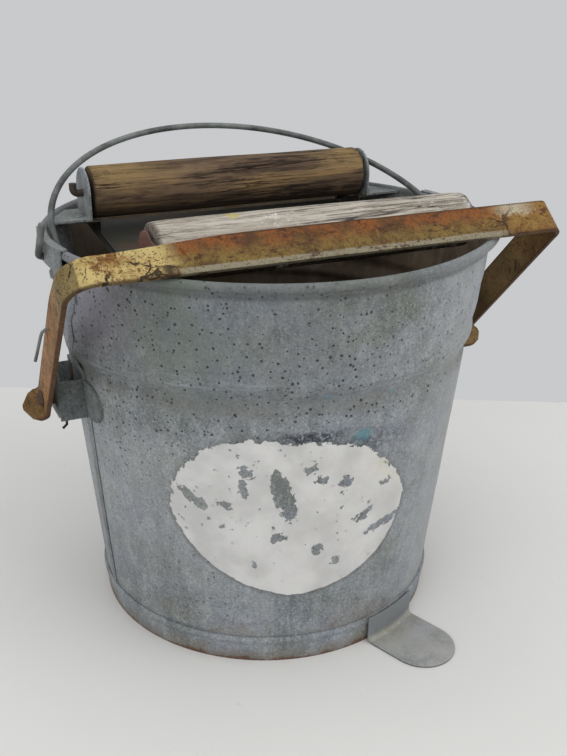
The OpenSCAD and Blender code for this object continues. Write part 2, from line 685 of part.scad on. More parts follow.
module tray_rivets() {
    color(ZINC) for (s = [LEFT, RIGHT])
        translate([s * hanger_hole_x, hanger_mid_y, ledge_z - plate_t]) rotate([0, -90, 0])
            rivet_x(-seat_gap - tray_t, plate_t);
}

bucket_body();
rim_wire();
bucket_bottom();
foot_ring();
foot_tab();
bail_ear_left();
bail_ear_right();
ear_rivets();
bail();
pivot_bracket_left();
pivot_bracket_right();
pivot_pin_left();
pivot_pin_right();
spring_remains();
lever_strap();
spring_hook();
roller_lug_left();
roller_lug_right();
lug_rivets();
front_axle();
front_roller();
rear_carrier_left();
rear_carrier_right();
carrier_rivets();
rear_axle();
rear_roller();
drain_tray();
tray_rivets();
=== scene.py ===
import math

import bmesh
import bpy
from mathutils import Matrix, Vector, noise


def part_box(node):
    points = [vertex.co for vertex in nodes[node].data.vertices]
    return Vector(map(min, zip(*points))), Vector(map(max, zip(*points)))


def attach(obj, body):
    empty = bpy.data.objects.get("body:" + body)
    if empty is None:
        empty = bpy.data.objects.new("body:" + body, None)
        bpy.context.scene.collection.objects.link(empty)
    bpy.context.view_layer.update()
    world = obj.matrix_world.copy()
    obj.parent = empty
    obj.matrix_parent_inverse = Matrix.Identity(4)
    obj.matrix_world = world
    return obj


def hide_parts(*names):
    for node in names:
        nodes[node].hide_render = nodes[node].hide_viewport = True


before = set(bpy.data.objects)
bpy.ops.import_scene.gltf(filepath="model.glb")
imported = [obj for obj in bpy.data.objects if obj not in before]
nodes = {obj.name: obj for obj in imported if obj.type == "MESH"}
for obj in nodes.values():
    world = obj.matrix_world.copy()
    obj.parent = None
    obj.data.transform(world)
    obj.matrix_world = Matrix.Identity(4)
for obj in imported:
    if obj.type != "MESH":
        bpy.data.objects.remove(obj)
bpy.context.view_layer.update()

# Floor, camera and light ----------------------------------------------------------------------------
# The bucket stands on a pale floor that ends a little way behind it, against a pale background, in soft
# light from above and both sides. The camera looks down on it a little, from its front left.


def linear(code, strength=1.0):
    """A linear colour from its usual six-digit code."""
    parts = [int(code[i:i + 2], 16) / 255 for i in (1, 3, 5)]
    parts = [p / 12.92 if p <= 0.04045 else ((p + 0.055) / 1.055) ** 2.4 for p in parts]
    return (*[p * strength for p in parts], 1.0)


class Value:
    """A shader socket that takes part in arithmetic: an expression on it adds Math nodes."""

    def __init__(self, tree, socket=None):
        self.tree = tree
        self.socket = socket

    def node(self, kind, settings=(), inputs=(), out=0):
        """Adds a node with its settings, then its sockets' values or links, and returns one output."""
        new = self.tree.nodes.new("ShaderNode" + kind)
        for name, setting in dict(settings).items():
            if name == "stops":
                ramp = new.color_ramp
                while len(ramp.elements) < len(setting):
                    ramp.elements.new(0.5)
                for element, (position, color) in zip(ramp.elements, setting):
                    element.position = position
                    element.color = color
            else:
                setattr(new, name, setting)
        for name, value in dict(inputs).items():
            if isinstance(value, Value):
                self.tree.links.new(value.socket, new.inputs[name])
            else:
                new.inputs[name].default_value = value
        return Value(self.tree, new.outputs[out]) if new.outputs else None

    def output(self, name):
        """Another output of the node that this value comes from."""
        return Value(self.tree, self.socket.node.outputs[name])

    def math(self, operation, *values):
        return self.node("Math", {"operation": operation}, enumerate(values))

    def __add__(self, other):
        return self.math("ADD", self, other)

    def __radd__(self, other):
        return self.math("ADD", other, self)

    def __sub__(self, other):
        return self.math("SUBTRACT", self, other)

    def __rsub__(self, other):
        return self.math("SUBTRACT", other, self)

    def __mul__(self, other):
        return self.math("MULTIPLY", self, other)

    def __rmul__(self, other):
        return self.math("MULTIPLY", other, self)

    def __truediv__(self, other):
        return self.math("DIVIDE", self, other)

    def __pow__(self, other):
        return self.math("POWER", self, other)

    def __abs__(self):
        return self.math("ABSOLUTE", self)

    def ramp(self, low, high, start=0.0, end=1.0):
        """Goes smoothly from start to end as this value goes from low to high."""
        return self.node("MapRange", {"interpolation_type": "SMOOTHSTEP"},
                         {"Value": self, "From Min": low, "From Max": high, "To Min": start, "To Max": end})

    def near(self, middle, half):
        """1 where this value is the middle one, falling smoothly to 0 at half away from it."""
        return abs(self - middle).ramp(half, 0.0)

    def either(self, other):
        return self.math("MAXIMUM", self, other)

    def mix(self, under, over):
        """Lays one colour over another where this mask is 1."""
        return self.node("Mix", {"data_type": "RGBA"}, {0: self, 6: under, 7: over}, out=2)

    def dot(self, direction):
        """How far a place lies along a direction."""
        return self.node("VectorMath", {"operation": "DOT_PRODUCT"}, {0: self, 1: direction}, out=1)

    def mapped(self, location=(0, 0, 0), rotation=(0, 0, 0), scale=(1, 1, 1)):
        """A place, turned and stretched before a pattern reads it."""
        return self.node("Mapping", {}, {"Vector": self, "Location": location, "Rotation": rotation,
                                         "Scale": scale})

    def noise(self, scale, detail=4.0, roughness=0.55, distortion=0.0):
        """Cloudy noise at this place, from 0 to 1."""
        return self.node("TexNoise", {}, {"Vector": self, "Scale": scale, "Detail": detail,
                                          "Roughness": roughness, "Distortion": distortion})

    def specks(self, scale, share, size, softness=0.12):
        """Round specks: one in some of the cells of a Voronoi pattern, each of its own size."""
        cells = self.node("TexVoronoi", {}, {"Vector": self, "Scale": scale})
        pick = self.node("SeparateColor", {}, {0: cells.output("Color")})
        radius = size * (pick.output(1) * 0.75 + 0.35)
        inside = (radius - cells).ramp(0.0, softness * size)
        return inside * pick.ramp(1 - share, 1 - share + 0.01)

    def flaked(self, scale, reach):
        """A place moved a different way in each small cell, so that outlines break up in sharp flakes."""
        cell = self.node("TexVoronoi", {}, {"Vector": self, "Scale": scale}, out=1)
        step = self.node("VectorMath", {"operation": "SUBTRACT"}, {0: cell, 1: (0.5, 0.5, 0.5)})
        return self.node("VectorMath", {"operation": "MULTIPLY_ADD"}, {0: step, 1: (reach,) * 3, 2: self})


def new_finish(name):
    """A bare material, and the place on the object that its patterns read."""
    material = bpy.data.materials.new(name)
    material.use_nodes = True
    material.node_tree.nodes.clear()
    return material, Value(material.node_tree).node("TexCoord", out="Object")


def finish(material, color, roughness, height=None, relief=0.001, metallic=0.0, specular=0.5):
    """Ends a material: its shader with a colour, roughness and relief in metres."""
    start = Value(material.node_tree)
    inputs = {"Base Color": color, "Roughness": roughness, "Metallic": metallic,
              "Specular IOR Level": specular}
    if height is not None:
        inputs["Normal"] = start.node("Bump", {}, {"Height": height, "Distance": relief, "Strength": 1.0})
    shader = start.node("BsdfPrincipled", {}, inputs)
    start.node("OutputMaterial", {}, {"Surface": shader})
    return material


CAMERA_PLACE = (-0.26282, -0.57537, 0.42506)
CAMERA_HEADING = math.radians(25.71)
CAMERA_PITCH = math.radians(23.16)
CAMERA_ROLL = math.radians(0.77)
CAMERA_LENS = 45.24
camera_data = bpy.data.cameras.new("camera")
camera_data.lens = CAMERA_LENS
camera = bpy.data.objects.new("camera", camera_data)
bpy.context.scene.collection.objects.link(camera)
camera.matrix_world = (Matrix.Translation(CAMERA_PLACE) @ Matrix.Rotation(-CAMERA_HEADING, 4, "Z")
                       @ Matrix.Rotation(math.pi / 2 - CAMERA_PITCH, 4, "X")
                       @ Matrix.Rotation(CAMERA_ROLL, 4, "Z"))
bpy.context.scene.camera = camera
bpy.context.scene.view_settings.view_transform = "Standard"

# How far behind the bucket the floor ends, half its width, and which way that edge faces
FLOOR_BEHIND = 0.315
FLOOR_HALF = 4
FLOOR_TURN = CAMERA_HEADING + math.radians(2)
ahead = Vector((math.sin(FLOOR_TURN), math.cos(FLOOR_TURN), 0))
floor_shape = bmesh.new()
bmesh.ops.create_grid(floor_shape, x_segments=1, y_segments=1, size=FLOOR_HALF)
bmesh.ops.transform(floor_shape, verts=floor_shape.verts[:],
                    matrix=(Matrix.Translation(ahead * (FLOOR_BEHIND - FLOOR_HALF))
                            @ Matrix.Rotation(-FLOOR_TURN, 4, "Z")))
floor_mesh = bpy.data.meshes.new("floor")
floor_shape.to_mesh(floor_mesh)
floor_shape.free()
floor = bpy.data.objects.new("floor", floor_mesh)
bpy.context.scene.collection.objects.link(floor)
floor_paint, floor_place = new_finish("floor_paint")
floor_color = floor_place.noise(3.0).mix(linear("#e2e1de"), linear("#e2e1de", 0.93))
floor_color = (floor_place.noise(40, 6, 0.8).ramp(0.64, 0.7) * 0.25).mix(floor_color, linear("#a9a69f"))
floor_mesh.materials.append(finish(floor_paint, floor_color, 0.75, specular=0.2))

world = bpy.data.worlds.new("world")
world.use_nodes = True
sky = world.node_tree.nodes["Background"]
sky.inputs["Color"].default_value = (0.97, 0.98, 1.0, 1.0)
sky.inputs["Strength"].default_value = 0.6
bpy.context.scene.world = world


def soft_lamp(name, place, target, size, power, color):
    """A large square lamp that shines from one place to another."""
    lamp = bpy.data.lights.new(name, "AREA")
    lamp.size = size
    lamp.energy = power
    lamp.color = color
    holder = bpy.data.objects.new(name, lamp)
    holder.location = place
    holder.rotation_euler = (Vector(target) - Vector(place)).to_track_quat("-Z", "Y").to_euler()
    bpy.context.scene.collection.objects.link(holder)


soft_lamp("window", (1.0, -1.3, 1.4), (0, 0, 0.15), 1.6, 11.5, (1.0, 0.99, 0.97))
soft_lamp("far window", (-1.5, -1.1, 1.1), (0, 0, 0.15), 1.6, 9.5, (0.98, 0.99, 1.0))
soft_lamp("ceiling", (-0.1, 0.0, 2.0), (0, 0, 0.1), 1.8, 10, (1.0, 1.0, 1.0))

# Side wall of the bucket ----------------------------------------------------------------------------
# One sheet of galvanised steel, rolled to a cone and lapped at the side, with a swaged bead and groove
# under the rim, and its top curled over a wire. It is out of round and dented, and a patch of white
# paint is chipped on its front.

WALL_BASE_R = 0.1199
WALL_TOP_R = 0.1450
WALL_FOOT_Z = 0.002
WALL_STEPS = 200
SHEET = 0.0008
# The rolled rim: its own radius, and where its middle runs
CURL_R = 0.0029
CURL_WAY_R = 0.1471
CURL_WAY_Z = 0.2691
CURL_FOOT_Z = 0.265
TAPER = (WALL_TOP_R - WALL_BASE_R) / CURL_WAY_Z
BEAD_Z = 0.207
BEAD_PROUD = 0.0022
GROOVE_Z = 0.196
GROOVE_DEEP = 0.0018
# The holes for the bail
EAR_X = 0.1443
EAR_Z = 0.262
BAIL_HOLE_R = 0.0026


def bump_at(z, middle, half):
    """1 at one height, rounding off to 0 at half above and below it."""
    return math.cos(math.pi / 2 * (z - middle) / half) ** 2 if abs(z - middle) < half else 0.0


def wall_radius(z):
    """The outside of the sound wall, with its bead and groove."""
    return (WALL_BASE_R + TAPER * z + BEAD_PROUD * bump_at(z, BEAD_Z, 0.008)
            - GROOVE_DEEP * bump_at(z, GROOVE_Z, 0.006))


def eased(value, low, high):
    """0 below low, 1 above high, smooth between."""
    t = min(max((value - low) / (high - low), 0.0), 1.0)
    return t * t * (3 - 2 * t)


def facing(turn, middle, half):
    """1 in one direction round the bucket, in degrees, falling away on both sides of it."""
    away = turn - math.radians(middle)
    away = math.atan2(math.sin(away), math.cos(away))
    return math.exp(-(away / math.radians(half)) ** 2)


def knocked(place):
    """Where a point of the wall lies now: out of round, bulged and flared at the right, buckled."""
    turn = math.atan2(place.y, place.x)
    out = Vector((math.cos(turn), math.sin(turn), 0))
    # the fittings hold the sheet to its shape, and the ear stops the bulge and the flare
    free = eased(place.z, 0.018, 0.06) * (1 - 0.97 * eased(abs(out.x), 0.88, 0.955))
    free *= 1 - eased(place.y, 0.025, 0.04) * eased(place.z, 0.22, 0.235)
    past_ear = 1 - eased(out.x, 0.93, 0.972)
    slow = noise.noise(Vector((out.x * 1.7, out.y * 1.7, place.z * 9 + 3)))
    quick = noise.noise(Vector((out.x * 5, out.y * 5, place.z * 30 + 9)))
    bulge = 0.0006 * eased(place.z, 0.14, 0.181) + 0.0033 * eased(place.z, 0.198, 0.229)
    bulge *= past_ear * facing(turn, -38, 26) * (1 - eased(place.z, 0.243, 0.265))
    flare = 0.0062 * past_ear * facing(turn, -31, 21) * eased(place.z, 0.236, 0.271)
    buckle = 0.004 * facing(turn, 188, 7) * eased(place.z, 0.188, 0.2)
    buckle *= 1 - eased(place.z, 0.225, 0.236)
    return place + out * (free * (0.0011 * slow + 0.0004 * quick) + bulge + flare + buckle)


def add_piece(name, shape, body, *replaced, smooth=math.radians(40)):
    """Makes a mesh object of a bmesh, with its faces outwards, and lets it ride on its body."""
    bmesh.ops.recalc_face_normals(shape, faces=shape.faces[:])
    mesh = bpy.data.meshes.new(name)
    shape.to_mesh(mesh)
    shape.free()
    piece = bpy.data.objects.new(name, mesh)
    bpy.context.scene.collection.objects.link(piece)
    for face in mesh.polygons:
        face.use_smooth = True
    mesh.set_sharp_from_angle(angle=smooth)
    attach(piece, body)
    if replaced:
        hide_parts(*replaced)
    return piece


def spun(outline, steps):
    """A ring of a closed outline of (radius, height) points, turned round the upright axis."""
    shape = bmesh.new()
    corners = [shape.verts.new((r, 0, z)) for r, z in outline]
    edges = [shape.edges.new((a, b)) for a, b in zip(corners, corners[1:] + corners[:1])]
    bmesh.ops.spin(shape, geom=corners + edges, cent=(0, 0, 0), axis=(0, 0, 1), angle=2 * math.pi,
                   steps=steps, use_merge=True)
    bmesh.ops.remove_doubles(shape, verts=shape.verts[:], dist=1e-6)
    return shape


def cut_holes(piece, places, direction, radius, length):
    """Drills round holes through a piece."""
    for place in places:
        drill = bmesh.new()
        bmesh.ops.create_cone(drill, cap_ends=True, segments=32, radius1=radius, radius2=radius,
                              depth=length)
        turn = Vector((0, 0, 1)).rotation_difference(Vector(direction)).to_matrix().to_4x4()
        bmesh.ops.transform(drill, matrix=Matrix.Translation(place) @ turn, verts=drill.verts[:])
        mesh = bpy.data.meshes.new("drill")
        drill.to_mesh(mesh)
        drill.free()
        cutter = bpy.data.objects.new("drill", mesh)
        bpy.context.scene.collection.objects.link(cutter)
        hole = piece.modifiers.new("hole", "BOOLEAN")
        hole.object = cutter
        hole.operation = "DIFFERENCE"
        hole.solver = "EXACT"
        bpy.context.view_layer.update()
        drilled = piece.evaluated_get(bpy.context.evaluated_depsgraph_get())
        cut = bpy.data.meshes.new_from_object(drilled)
        piece.modifiers.clear()
        piece.data = cut
        bpy.data.objects.remove(cutter)


# rings of points up the wall, closer together over the groove and the bead
heights = [WALL_FOOT_Z + 0.004 * i for i in range(46)]
heights += [0.1875 + 0.0011 * i for i in range(27)]
heights += [0.2185 + 0.004 * i for i in range(12)]
outer_line = [(wall_radius(z), z) for z in heights]
curl_turns = [math.pi - math.radians(12) * i for i in range(25)]


def round_the_wire(radius, turns):
    """Points of a circle round the middle of the rolled rim."""
    return [(CURL_WAY_R + radius * math.cos(a), CURL_WAY_Z + radius * math.sin(a)) for a in turns]


curl_inside = round_the_wire(CURL_R - SHEET, curl_turns)
curl_outside = round_the_wire(CURL_R, curl_turns)
inner_line = [(r - SHEET, z) for r, z in outer_line]
wall_shape = spun(outer_line + curl_inside + curl_outside[::-1] + inner_line[::-1], WALL_STEPS)
for vert in wall_shape.verts:
    vert.co = knocked(vert.co)
wall = add_piece("side_wall", wall_shape, "bucket", "bucket_body")


def zinc_layers(place, dirt=0.35):
    """Old hot-dipped zinc: mottled blue, green and violet greys, upright streaks and a little dirt."""
    cloud = place.noise(9, 4, 0.65, 0.4)
    color = cloud.ramp(0.35, 0.65).mix(linear("#6a706f"), linear("#878c90"))
    hue = place.mapped(location=(3, 1, 2)).noise(17, 4, 0.7)
    color = (hue.ramp(0.5, 0.62) * 0.4).mix(color, linear("#7c8596"))
    color = (hue.ramp(0.48, 0.36) * 0.45).mix(color, linear("#747a66"))
    mottle = place.mapped(scale=(1, 1, 0.75), location=(9, 1, 4)).noise(75, 7, 0.85)
    color = (mottle.ramp(0.5, 0.62) * 0.5).mix(color, linear("#a5a9ac"))
    color = (mottle.ramp(0.49, 0.38) * 0.55).mix(color, linear("#53585a"))
    streak = place.mapped(scale=(70, 70, 4)).noise(1, 6, 0.65, 0.2)
    color = (streak.ramp(0.5, 0.72) * 0.35).mix(color, linear("#a3a7a9"))
    color = (streak.ramp(0.46, 0.26) * 0.35).mix(color, linear("#565b59"))
    thin = place.mapped(scale=(230, 230, 9), location=(5, 5, 0)).noise(1, 5, 0.7)
    color = (thin.ramp(0.53, 0.72) * 0.25).mix(color, linear("#b3b6b6"))
    color = (thin.ramp(0.45, 0.27) * 0.3).mix(color, linear("#4d5150"))
    fine = place.noise(600, 4, 0.9)
    color = (fine.ramp(0.51, 0.66) * 0.55).mix(color, linear("#bfc2c3"))
    color = (fine.ramp(0.48, 0.34) * 0.65).mix(color, linear("#414546"))
    grime = place.mapped(location=(7, 7, 7)).noise(22, 6, 0.7)
    color = (grime.ramp(0.55, 0.8) * dirt).mix(color, linear("#6d6353"))
    roughness = cloud * 0.16 + fine * 0.2 + 0.36
    height = fine * 0.2 + mottle * 0.25 + thin * 0.04 + place.noise(45, 3) * 0.3
    return color, roughness, height


def pits(place, color, height, amount):
    """Lays small dark pits on a colour, more of them where amount is high."""
    small = place.specks(300, 0.75, 0.27) * amount.ramp(0.36, 0.66)
    large = place.mapped(location=(2, 5, 1)).specks(130, 0.55, 0.14) * amount.ramp(0.46, 0.8)
    spots = small.either(large)
    color = (spots * 0.92).mix(color, linear("#1f2223"))
    return color, height - spots * 0.5


# The patch: its middle's direction and height, the wall's radius there, and how far it reaches from its
# middle, in millimetres, every 15 degrees from the left and down round
PATCH_TURN = math.radians(-107)
PATCH_Z = 0.115
PATCH_R = 0.131
PATCH_REACH = (79, 72, 66, 61, 59, 58, 60, 61, 64, 69, 75, 79,
               82, 74, 67, 64, 58, 55, 54, 58, 65, 71, 75, 78)
# Chips in the patch: across and up from its middle, half width, half height, in millimetres, and tilt
PATCH_CHIPS = [(-6, 17, 6, 20, 16), (-29, 34, 5, 4, -30), (-30, 22, 3, 7, 10), (-42, 10, 5, 3, -20),
               (-62, 12, 12, 3.5, -35), (10, 36, 5, 3, 25), (17, 27, 5, 3, 10), (33, 23, 4.5, 4, 0),
               (63, 15, 5, 2.5, 15), (66, -17, 17, 3, 14), (16, -25, 4, 4.5, 0), (-9, -14, 5.5, 4, 20),
               (-44, -6, 3, 2.5, 0), (30, -37, 3, 2.5, 30), (-24, -35, 2, 2, 0), (49, -6, 7, 3, 30)]


def wall_finish():
    """The outside of the wall, with its paint patch, stains and dirt, and painted light, highlight and
    shade.
    """
    material, place = new_finish("wall_zinc")
    color, roughness, height = zinc_layers(place)
    z = place.dot((0, 0, 1))
    toward = place.dot((math.cos(PATCH_TURN), math.sin(PATCH_TURN), 0))
    beside = place.dot((-math.sin(PATCH_TURN), math.cos(PATCH_TURN), 0))
    u = place.math("ARCTAN2", beside, toward) * PATCH_R
    v = z - PATCH_Z
    # the marks that differ from side to side fade out before the back, where u jumps
    fore = toward.ramp(-0.09, -0.03)
    # painted shade at the upper left and middle, and painted light at the right and lower down on the left
    painted_shade_upper_left = fore * u.ramp(0.09, 0.0) * z.ramp(0.165, 0.215) * (u.ramp(-0.06, -0.13) * -0.6 + 1)
    color = (painted_shade_upper_left * 0.42).mix(color, linear("#4b5051"))
    painted_light_left = u.ramp(0.0, -0.06) * z.ramp(0.18, 0.14) * z.ramp(0.03, 0.08) * 0.6
    # painted light: the right side, and the left lower down, are lightened
    bright = u.ramp(0.06, 0.13).either(painted_light_left)
    color = (fore * bright * 0.35).mix(color, linear("#b8babd"))
    green = u.near(-0.062, 0.05) * z.ramp(0.17, 0.235) * place.noise(25).ramp(0.35, 0.6)
    color = (green * 0.5).mix(color, linear("#667160"))
    violet = fore * u.ramp(-0.075, -0.12) * z.ramp(0.19, 0.25)
    color = (violet * 0.5).mix(color, linear("#94909f"))
    band = z.near(0.1925, 0.009) * place.noise(18).ramp(0.3, 0.6)
    color = (band * 0.5).mix(color, linear("#5f6054"))
    # painted highlight: bright horizontal lines along the bead, mixed with dark streaks
    lines = place.mapped(scale=(14, 14, 330)).noise(1, 6, 0.85)
    bead_highlight_zone = z.near(0.205, 0.015) * place.mapped(location=(1, 1, 6)).noise(24, 3).ramp(0.4, 0.6)
    color = (bead_highlight_zone * lines.ramp(0.52, 0.62) * 0.4).mix(color, linear("#a5abb4"))
    color = (bead_highlight_zone * lines.ramp(0.47, 0.38) * 0.45).mix(color, linear("#4c5258"))
    many = place.noise(9, 3) * 0.5 + fore * u.ramp(0.09, -0.06) * 0.24 + z.ramp(0.12, 0.21) * 0.26
    color, height = pits(place, color, height, many.either(z.near(0.192, 0.02) * 0.85))
    # brown dirt and rust low down
    low = z.ramp(0.045, 0.012) * place.noise(30, 5, 0.7).ramp(0.35, 0.7)
    color = (low * 0.5).mix(color, linear("#7b6a55"))
    # the curled rim is darker, with a painted shadow line under it
    rim = z.ramp(0.2635, 0.2665)
    color = (rim * 0.45).mix(color, linear("#4f544f"))
    # painted shadow: a dark line just under the curl
    shade = z.near(0.2625, 0.003)
    color = (shade * 0.5).mix(color, linear("#3f4340"))
    # white paint patch, its outline and chips broken up in flakes
    flat = place.node("CombineXYZ", {}, {"X": u, "Y": v})
    coarse_flat = flat.flaked(260, 0.0032)
    fine_flat = coarse_flat.flaked(700, 0.0011)
    fu, fv = fine_flat.dot((1, 0, 0)), fine_flat.dot((0, 1, 0))
    ragged = v.ramp(-0.02, 0.02, 0.2, 1.0)
    eu, ev = u + (fu - u) * ragged, v + (fv - v) * ragged
    turn = place.math("ARCTAN2", ev, eu) / (2 * math.pi) + 0.5
    count = len(PATCH_REACH)
    stops = [(i / count, (PATCH_REACH[i % count] / 100,) * 3 + (1,)) for i in range(count + 1)]
    reach = place.node("ValToRGB", {"stops": stops}, {"Fac": turn}) * 0.1
    inside = reach - (eu * eu + ev * ev) ** 0.5
    patch = inside.ramp(0.0, 0.0004)
    chips = None
    for chip_u, chip_v, half_u, half_v, tilt in PATCH_CHIPS:
        c, s = math.cos(math.radians(tilt)), math.sin(math.radians(tilt))
        du, dv = fu - chip_u / 1000, fv - chip_v / 1000
        long = (dv * c - du * s) / (half_v / 1000)
        wide = (du * c + dv * s) / (half_u / 1000)
        one = 1 - (long * long + wide * wide)
        chips = one if chips is None else chips.either(one)
    chipped = chips.ramp(0.0, 0.06)
    crumbs = fine_flat.specks(190, 0.3, 0.26) * place.noise(30, 3).ramp(0.42, 0.6)
    crumbs = crumbs.either(fine_flat.mapped(location=(3, 3, 0)).specks(100, 0.22, 0.17))
    chipped = chipped.either(crumbs)
    patch = patch * (1 - chipped)
    # painted shadow: a dark band just outside the patch's outline and a faint one in its chips, for the
    # relief of the paint's edge
    painted_edge_shadow = (inside.ramp(-0.004, 0.0) - inside.ramp(0.0, 0.003) * 0.75) * (1 - patch)
    color = (painted_edge_shadow * 0.4).mix(color, linear("#4c5051"))
    # blue-black specks and turquoise stains above the patch
    over = u.near(0.008, 0.034) * z.near(0.1725, 0.007) * 1.6
    over = over.either(u.near(0.045, 0.05) * z.near(0.164, 0.014) * 0.9)
    speckled = place.noise(260, 6, 0.95).ramp(0.45, 0.52)
    color = (over * speckled * 0.85).mix(color, linear("#272d38"))
    for stain_u, stain_z, stain_size, strength in ((0.042, 0.170, 0.0085, 0.7), (0.017, 0.2, 0.0028, 0.9),
                                                   (0.06, 0.196, 0.0026, 0.6), (-0.085, 0.24, 0.002, 0.4)):
        away = ((u - stain_u) / stain_size) ** 2 + ((z - stain_z) / (stain_size * 0.7)) ** 2
        blue = (1 - away + (place.noise(200, 5, 0.8) - 0.5) * 3).ramp(0.0, 1.2)
        color = (blue * strength * 0.75).mix(color, linear("#3f8f9e"))
    paint = place.noise(40, 4).ramp(0.3, 0.7).mix(linear("#c2c1bf"), linear("#d8d7d5"))
    paint = (place.noise(500, 3) * 0.15).mix(paint, linear("#a5a6a2"))
    yellow = u.ramp(0.04, 0.07) * z.ramp(0.12, 0.145) * place.noise(70).ramp(0.4, 0.6)
    paint = (yellow * 0.5).mix(paint, linear("#cfc6a0"))
    color = patch.mix(color, paint)
    roughness = patch * 0.1 + roughness * (1 - patch * 0.35)
    height = height * (1 - patch * 0.8) + patch * 0.6
    return finish(material, color, roughness, height, 0.0009)


def inside_finish():
    """The inside of the bucket: zinc gone brown and rusty, with pale water marks."""
    material, place = new_finish("inside_grime")
    z = place.dot((0, 0, 1))
    cloud = place.noise(14, 6, 0.7, 0.5)
    color = cloud.ramp(0.3, 0.7).mix(linear("#4a4031"), linear("#786b58"))
    streak = place.mapped(scale=(60, 60, 4)).noise(1, 6, 0.7)
    color = (streak.ramp(0.5, 0.75) * 0.5).mix(color, linear("#83796a"))
    rust = place.mapped(location=(5, 1, 3)).noise(30, 6, 0.75)
    color = (rust.ramp(0.52, 0.68) * 0.75).mix(color, linear("#5b3d22"))
    top = z.ramp(0.255, 0.268)
    color = (top * 0.5).mix(color, linear("#7b7f7c"))
    return finish(material, color, cloud * 0.2 + 0.6, rust * 0.4 + streak * 0.3, 0.0008)


wall.data.materials.append(wall_finish())
wall.data.materials.append(inside_finish())
for face in wall.data.polygons:
    middle = face.center
    if middle.z < CURL_FOOT_Z and face.normal.x * middle.x + face.normal.y * middle.y < 0:
        face.material_index = 1
cut_holes(wall, [(s * EAR_X, 0, EAR_Z) for s in (-1, 1)], (1, 0, 0), BAIL_HOLE_R, 0.008)

# The lapped edge of the sheet stands out as a narrow upright fold on the left.
SEAM_FOOT_Z = 0.0215
SEAM_TOP_Z = 0.262
seam_shape = bmesh.new()
bmesh.ops.create_grid(seam_shape, x_segments=4, y_segments=90, size=0.5)
for vert in seam_shape.verts:
    z = SEAM_FOOT_Z + (vert.co.y + 0.5) * (SEAM_TOP_Z - SEAM_FOOT_Z)
    wave = 0.5 * noise.noise(Vector((0, 0, z * 45))) * (1 if vert.co.x > 0 else 0.3)
    turn = math.radians(-176.5 + 5 * eased(z, 0.02, 0.26) + wave + vert.co.x * 3.4)
    proud = 0.0004 + 0.0004 * (1 - abs(vert.co.x * 2) ** 6)
    straight = WALL_BASE_R + TAPER * z + 0.0012 * bump_at(z, BEAD_Z, 0.012)
    radius = straight + proud
    vert.co = knocked(Vector((radius * math.cos(turn), radius * math.sin(turn), z)))
bmesh.ops.solidify(seam_shape, geom=seam_shape.faces[:], thickness=0.0012)
seam = add_piece("side_seam", seam_shape, "bucket")


def zinc_finish(name, dirt=0.35, dark=0.0, amount=0.5, shade="#3d4038"):
    """Zinc for a small piece, dirtier or darker than the wall."""
    material, place = new_finish(name)
    color, roughness, height = zinc_layers(place, dirt)
    color, height = pits(place, color, height, place.noise(9, 2) * 0.6 + amount * 0.5)
    if dark:
        color = (place.noise(26, 4) * dark).mix(color, linear(shade))
    return finish(material, color, roughness, height, 0.0006)


seam.data.materials.append(zinc_finish("seam_zinc", 0.8, 0.45))

# Wire in the rim, bottom and foot hoop --------------------------------------------------------------
# A steel wire stiffens the rolled rim, and follows its bends. The bottom is a dished sheet with its edge
# turned down, and a hoop of heavier sheet round the foot takes the knocks and the rust.

WIRE_R = 0.002
wire_turns = [math.radians(30) * i for i in range(12)]
wire_shape = spun(round_the_wire(WIRE_R, wire_turns), WALL_STEPS)
for vert in wire_shape.verts:
    vert.co = knocked(vert.co)
rim_wire = add_piece("rim_stiffener", wire_shape, "bucket", "rim_wire")


def dress(material, *names):
    """Gives CAD nodes a material."""
    for name in names:
        nodes[name].data.materials.clear()
        nodes[name].data.materials.append(material)


def rust_finish(name, light="#7a4a26", deep="#2e211a", bright=0.4):
    """Bare steel, rusted dark, with brighter rust in its hollows."""
    material, place = new_finish(name)
    cloud = place.noise(120, 6, 0.75)
    color = cloud.ramp(0.35, 0.7).mix(linear(deep), linear("#55402f"))
    spots = place.mapped(location=(3, 3, 3)).noise(260, 5, 0.8)
    color = (spots.ramp(0.5, 0.68) * bright).mix(color, linear(light))
    return finish(material, color, cloud * 0.25 + 0.6, spots, 0.0005)


def hoop_finish():
    """The hoop round the foot: zinc with rust and dirt along its lower edge."""
    material, place = new_finish("hoop_zinc")
    color, roughness, height = zinc_layers(place)
    z = place.dot((0, 0, 1))
    ragged = place.noise(60, 6, 0.75)
    color, height = pits(place, color, height, place.noise(9, 2) * 0.9)
    dirt = (z * -60 + 0.75 + (ragged - 0.5) * 1.6).ramp(0.0, 0.6)
    color = (dirt * 0.6).mix(color, linear("#756a5b"))
    rust = (z * -190 + 0.62 + (ragged - 0.5) * 3.4).ramp(0.0, 0.5)
    color = (rust * 0.85).mix(color, linear("#5a3b26"))
    return finish(material, color, roughness + dirt * 0.15, height + ragged * 0.3, 0.0006)


hoop_zinc = hoop_finish()
dark_rust = rust_finish("dark_rust")
rim_wire.data.materials.append(dark_rust)
dress(hoop_zinc, "foot_ring")
dress(dark_rust, "pivot_pin_left", "pivot_pin_right", "spring_remains")
dress(wall.data.materials[1], "bucket_bottom")


# How far the edges of the sheet fittings are worn round
SHEET_EDGE = 0.0003


